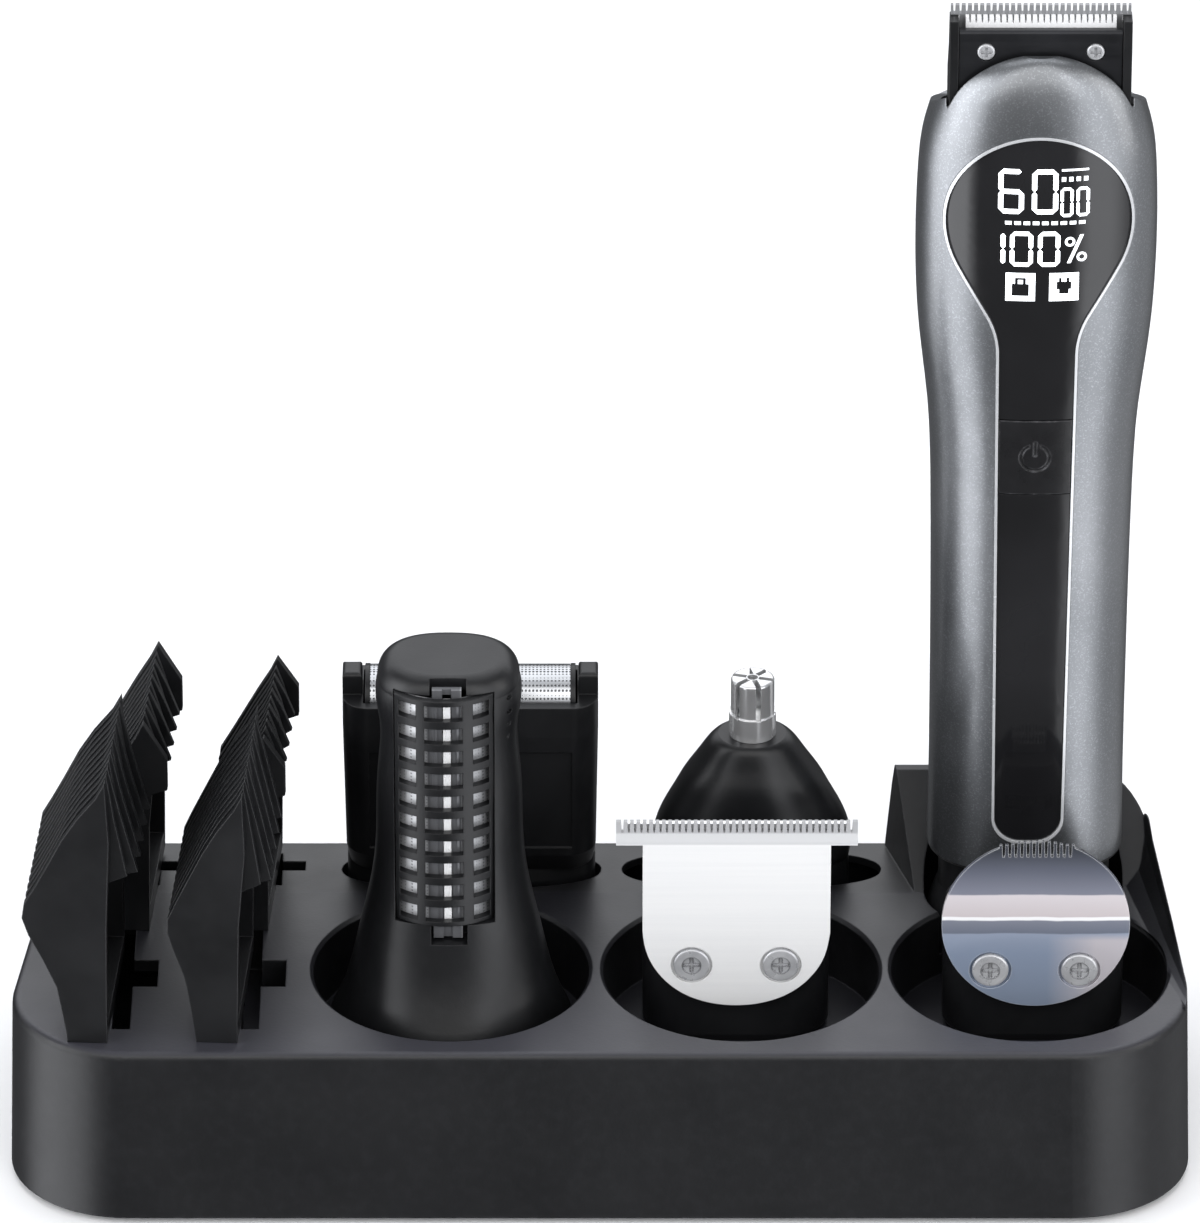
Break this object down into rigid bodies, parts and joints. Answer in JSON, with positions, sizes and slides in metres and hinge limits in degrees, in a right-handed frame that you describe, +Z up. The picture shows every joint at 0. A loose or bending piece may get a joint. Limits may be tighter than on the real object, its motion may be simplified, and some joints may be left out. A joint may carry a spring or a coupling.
{
  "type": "beard trimmer set",
  "caption": "Cordless beard trimmer with a display, docked in a moulded storage stand with clip-on cutting heads and guide combs.",
  "frame": {"origin": "on the table, under the middle of the stand's footprint", "axes": "+X to the right seen from the front, +Y to the back, +Z up"},
  "size_m": [0.1966, 0.077, 0.1983],
  "materials": {
    "stand_plastic": "satin black moulded tray, faint blue sheen",
    "base_plastic": "fine grained black",
    "foot_rubber": "matt black",
    "screw_steel": "zinc plated",
    "gunmetal": "gunmetal metallic lacquer",
    "cap_plastic": "fine satin black",
    "chrome_trim": "bright plated",
    "piano_black": "high gloss black",
    "button_plastic": "gloss black",
    "display_board": "black display module",
    "circuit_board": "green board",
    "switch_metal": "plain",
    "cell_wrap": "blue heat-shrink wrap",
    "contact_metal": "nickel-brass strip",
    "motor_steel": "plated can",
    "chassis_plastic": "grey structural plastic",
    "socket_plastic": "black with plated tongue",
    "seal_rubber": "soft black",
    "head_plastic": "satin black",
    "blade_black": "black coated steel",
    "blade_steel": "ground and polished",
    "mirror_steel": "mirror polished",
    "yoke_plastic": "natural acetal",
    "spring_steel": "bright wire",
    "foil_steel": "thin perforated foil",
    "comb_plastic": "satin black"
  },
  "bodies": {
    "stand": {"stand_tray": "stand_plastic", "stand_base_cover": "base_plastic", "stand_feet": "foot_rubber", "stand_screws": "screw_steel"},
    "handset": {"front_housing": "gunmetal", "rear_housing": "gunmetal", "bottom_cap": "cap_plastic", "inlay_trim": "chrome_trim", "display_lens": "piano_black", "lower_inlay": "piano_black", "display_module": "display_board", "main_pcb": "circuit_board", "tact_switch": "switch_metal", "battery_cell": "cell_wrap", "battery_contacts": "contact_metal", "motor_can": "motor_steel", "chassis": "chassis_plastic", "charge_socket": "socket_plastic", "housing_screws": "screw_steel", "neck_collar": "cap_plastic", "neck_seal": "seal_rubber"},
    "power_button": {"power_button": "button_plastic"},
    "rotor": {"motor_shaft": "motor_steel", "eccentric_cam": "yoke_plastic"},
    "trim_head": {"trim_head_body": "head_plastic", "trim_fixed_blade": "blade_black", "trim_blade_clamp": "blade_black", "trim_blade_screws": "screw_steel", "trim_spring": "spring_steel"},
    "trim_cutter": {"trim_moving_blade": "blade_steel", "trim_yoke": "yoke_plastic"},
    "t_head": {"t_head_body": "head_plastic", "t_fixed_blade": "blade_steel", "t_blade_screws": "screw_steel", "t_spring": "spring_steel"},
    "t_cutter": {"t_moving_blade": "blade_steel", "t_yoke": "yoke_plastic"},
    "detail_head": {"detail_head_body": "head_plastic", "detail_fixed_blade": "mirror_steel", "detail_blade_screws": "screw_steel", "detail_spring": "spring_steel"},
    "detail_cutter": {"detail_moving_blade": "blade_steel", "detail_yoke": "yoke_plastic"},
    "nose_head": {"nose_head_body": "head_plastic", "nose_guard_tube": "mirror_steel"},
    "nose_cutter": {"nose_cutter": "blade_steel"},
    "shaver_head": {"shaver_head_body": "head_plastic", "foil_springs": "spring_steel"},
    "shaver_foil": {"foil_frame": "head_plastic", "foil_screen": "foil_steel"},
    "shaver_cutter": {"shaver_cutter": "blade_steel", "shaver_yoke": "yoke_plastic"},
    "groomer_head": {"groomer_head_body": "head_plastic", "groomer_guard": "head_plastic", "groomer_foil": "foil_steel"},
    "groomer_blade": {"groomer_blade": "blade_steel"},
    "comb_front_left": {"comb_front_left": "comb_plastic"},
    "comb_front_right": {"comb_front_right": "comb_plastic"},
    "comb_rear_left": {"comb_rear_left": "comb_plastic"},
    "comb_rear_right": {"comb_rear_right": "comb_plastic"}
  },
  "joints": [
    {"name": "handset_lift", "type": "slide", "parent": "stand", "child": "handset", "axis": [0, 0, 1], "range_m": [0, 0.06]},
    {"name": "power_button_press", "type": "slide", "parent": "handset", "child": "power_button", "axis": [0, 1, 0], "range_m": [0, 0.0008], "stiffness_N_per_m": 900},
    {"name": "motor_spin", "type": "hinge", "parent": "handset", "child": "rotor", "pos_m": [0.0713, 0.0194, 0.15121], "axis": [0, 0, 1], "continuous": true},
    {"name": "trim_head_release", "type": "slide", "parent": "handset", "child": "trim_head", "axis": [0, 0, 1], "range_m": [0, 0.03]},
    {"name": "trim_cutter_stroke", "type": "slide", "parent": "trim_head", "child": "trim_cutter", "axis": [1, 0, 0], "range_m": [-0.0009, 0.0009], "stiffness_N_per_m": 300},
    {"name": "t_head_lift", "type": "slide", "parent": "stand", "child": "t_head", "axis": [0, 0, 1], "range_m": [0, 0.04]},
    {"name": "t_cutter_stroke", "type": "slide", "parent": "t_head", "child": "t_cutter", "axis": [1, 0, 0], "range_m": [-0.0009, 0.0009], "stiffness_N_per_m": 300},
    {"name": "detail_head_lift", "type": "slide", "parent": "stand", "child": "detail_head", "axis": [0, 0, 1], "range_m": [0, 0.04]},
    {"name": "detail_cutter_stroke", "type": "slide", "parent": "detail_head", "child": "detail_cutter", "axis": [1, 0, 0], "range_m": [-0.0009, 0.0009], "stiffness_N_per_m": 300},
    {"name": "nose_head_lift", "type": "slide", "parent": "stand", "child": "nose_head", "axis": [0, 0, 1], "range_m": [0, 0.04]},
    {"name": "nose_cutter_spin", "type": "hinge", "parent": "nose_head", "child": "nose_cutter", "pos_m": [0.0256, 0.0254, 0.05121], "axis": [0, 0, 1], "continuous": true},
    {"name": "shaver_head_lift", "type": "slide", "parent": "stand", "child": "shaver_head", "axis": [0, 0, 1], "range_m": [0, 0.04]},
    {"name": "foil_float", "type": "slide", "parent": "shaver_head", "child": "shaver_foil", "axis": [0, 0, 1], "range_m": [-0.0012, 0], "stiffness_N_per_m": 900, "springref_m": 0.0004, "deforming": ["foil_springs"]},
    {"name": "shaver_cutter_stroke", "type": "slide", "parent": "shaver_foil", "child": "shaver_cutter", "axis": [1, 0, 0], "range_m": [-0.0009, 0.0009], "stiffness_N_per_m": 300},
    {"name": "groomer_head_lift", "type": "slide", "parent": "stand", "child": "groomer_head", "axis": [0, 0, 1], "range_m": [0, 0.04]},
    {"name": "groomer_blade_stroke", "type": "slide", "parent": "groomer_head", "child": "groomer_blade", "axis": [0, 0, 1], "range_m": [-0.0007, 0.0007], "stiffness_N_per_m": 300},
    {"name": "comb_front_left_lift", "type": "slide", "parent": "stand", "child": "comb_front_left", "axis": [0, 0, 1], "range_m": [0, 0.03]},
    {"name": "comb_front_right_lift", "type": "slide", "parent": "stand", "child": "comb_front_right", "axis": [0, 0, 1], "range_m": [0, 0.03]},
    {"name": "comb_rear_left_lift", "type": "slide", "parent": "stand", "child": "comb_rear_left", "axis": [0, 0, 1], "range_m": [0, 0.03]},
    {"name": "comb_rear_right_lift", "type": "slide", "parent": "stand", "child": "comb_rear_right", "axis": [0, 0, 1], "range_m": [0, 0.03]}
  ]
}
